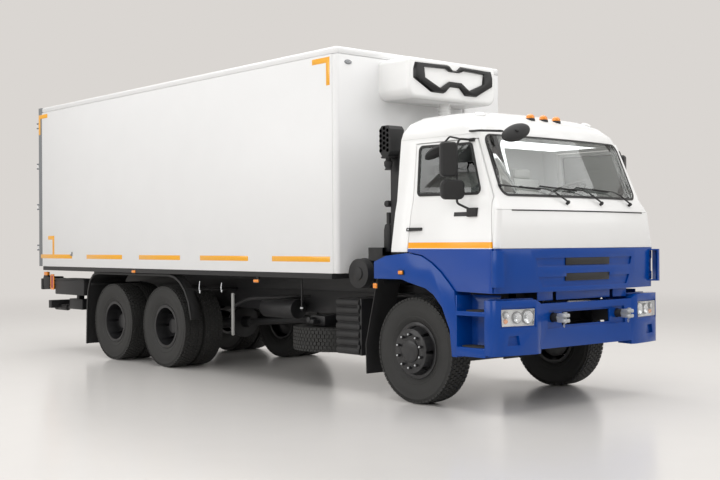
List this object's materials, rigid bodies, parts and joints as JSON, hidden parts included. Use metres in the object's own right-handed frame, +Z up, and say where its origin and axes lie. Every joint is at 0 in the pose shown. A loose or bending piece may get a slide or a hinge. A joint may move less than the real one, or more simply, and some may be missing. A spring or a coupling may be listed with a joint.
{
  "type": "three-axle rigid refrigerated truck",
  "caption": "Refrigerated rigid truck: tilting cab with opening doors, insulated box body with rear doors, cooling unit, steered front axle and twin-tyred rear bogie.",
  "frame": {"origin": "on the ground under the middle of the vehicle, centre of the bounding box footprint", "axes": "+X forward, +Y to the left side, +Z up"},
  "size_m": [9.708, 2.9152, 3.736],
  "materials": {
    "chassis_black": "satin",
    "engine_grey": "matte",
    "body_white": "semi-gloss",
    "portal_grey": "satin",
    "unit_white": "gloss",
    "gloss_black": "gloss",
    "cab_white": "gloss",
    "cab_blue": "gloss",
    "glass": "gloss",
    "rubber_black": "matte",
    "lamp_amber": "gloss",
    "interior_grey": "matte",
    "plastic_black": "matte",
    "tank_black": "satin",
    "tyre_black": "matte",
    "lamp_clear": "gloss",
    "rim_black": "semi-gloss"
  },
  "bodies": {
    "chassis": {"frame_rails": "chassis_black", "box_bearers": "chassis_black", "axles": "chassis_black", "leaf_springs": "chassis_black", "drivetrain": "engine_grey", "box_floor": "body_white", "box_front_wall": "body_white", "box_side_walls": "body_white", "box_roof": "body_white", "rear_portal": "portal_grey", "cooling_unit": "unit_white", "unit_surround": "gloss_black", "front_bumper": "cab_blue", "front_fenders": "cab_blue", "battery_box": "plastic_black", "tanks": "tank_black", "spare_wheel": "tyre_black", "air_intake": "plastic_black", "rear_mudguards": "plastic_black", "rear_underrun": "chassis_black", "lamps": "lamp_clear"},
    "cab": {"cab_shell": "cab_white", "cab_roof": "cab_white", "front_panel": "cab_white", "grille_panel": "cab_blue", "cab_glass": "glass", "cab_trim": "rubber_black", "roof_lamps": "lamp_amber", "cab_interior": "interior_grey"},
    "cab_door_left": {"door_left": "cab_white", "door_glass_left": "glass", "door_mirrors_left": "plastic_black"},
    "cab_door_right": {"door_right": "cab_white", "door_glass_right": "glass", "door_mirrors_right": "plastic_black"},
    "cargo_door_left": {"rear_door_left": "body_white"},
    "cargo_door_right": {"rear_door_right": "body_white"},
    "steering_left": {"knuckle_left": "chassis_black"},
    "steering_right": {"knuckle_right": "chassis_black"},
    "front_wheel_left": {"front_rim_left": "rim_black", "front_tyre_left": "tyre_black"},
    "mid_wheels_left": {"mid_rims_left": "rim_black", "mid_tyres_left": "tyre_black"},
    "rear_wheels_left": {"rear_rims_left": "rim_black", "rear_tyres_left": "tyre_black"},
    "front_wheel_right": {"front_rim_right": "rim_black", "front_tyre_right": "tyre_black"},
    "mid_wheels_right": {"mid_rims_right": "rim_black", "mid_tyres_right": "tyre_black"},
    "rear_wheels_right": {"rear_rims_right": "rim_black", "rear_tyres_right": "tyre_black"}
  },
  "joints": [
    {"name": "cab_tilt", "type": "hinge", "parent": "chassis", "child": "cab", "pos_m": [4.61, 0, 1.21], "axis": [0, 1, 0], "range_deg": [0, 50]},
    {"name": "cab_door_left_hinge", "type": "hinge", "parent": "cab", "child": "cab_door_left", "pos_m": [4.588, 1.258, 1.37], "axis": [0, 0, -1], "range_deg": [0, 70]},
    {"name": "cab_door_right_hinge", "type": "hinge", "parent": "cab", "child": "cab_door_right", "pos_m": [4.588, -1.258, 1.37], "axis": [0, 0, 1], "range_deg": [0, 70]},
    {"name": "cargo_door_left_hinge", "type": "hinge", "parent": "chassis", "child": "cargo_door_left", "pos_m": [-4.853, 1.295, 2.514], "axis": [0, 0, -1], "range_deg": [0, 270]},
    {"name": "cargo_door_right_hinge", "type": "hinge", "parent": "chassis", "child": "cargo_door_right", "pos_m": [-4.853, -1.295, 2.514], "axis": [0, 0, 1], "range_deg": [0, 270]},
    {"name": "steer_left", "type": "hinge", "parent": "chassis", "child": "steering_left", "pos_m": [3.48, 0.87, 0.535], "axis": [0, 0, 1], "range_deg": [-35, 35]},
    {"name": "steer_right", "type": "hinge", "parent": "chassis", "child": "steering_right", "pos_m": [3.48, -0.87, 0.535], "axis": [0, 0, 1], "range_deg": [-35, 35]},
    {"name": "front_wheel_left_spin", "type": "hinge", "parent": "steering_left", "child": "front_wheel_left", "pos_m": [3.48, 1.066, 0.535], "axis": [0, 1, 0], "continuous": true},
    {"name": "mid_wheels_left_spin", "type": "hinge", "parent": "chassis", "child": "mid_wheels_left", "pos_m": [-1.234, 0.952, 0.535], "axis": [0, 1, 0], "continuous": true},
    {"name": "rear_wheels_left_spin", "type": "hinge", "parent": "chassis", "child": "rear_wheels_left", "pos_m": [-2.588, 0.952, 0.535], "axis": [0, 1, 0], "continuous": true},
    {"name": "front_wheel_right_spin", "type": "hinge", "parent": "steering_right", "child": "front_wheel_right", "pos_m": [3.48, -1.066, 0.535], "axis": [0, 1, 0], "continuous": true},
    {"name": "mid_wheels_right_spin", "type": "hinge", "parent": "chassis", "child": "mid_wheels_right", "pos_m": [-1.234, -0.952, 0.535], "axis": [0, 1, 0], "continuous": true},
    {"name": "rear_wheels_right_spin", "type": "hinge", "parent": "chassis", "child": "rear_wheels_right", "pos_m": [-2.588, -0.952, 0.535], "axis": [0, 1, 0], "continuous": true}
  ],
  "couplings": [
    {"joint": "steer_right", "follows": "steer_left", "ratio": 1}
  ]
}
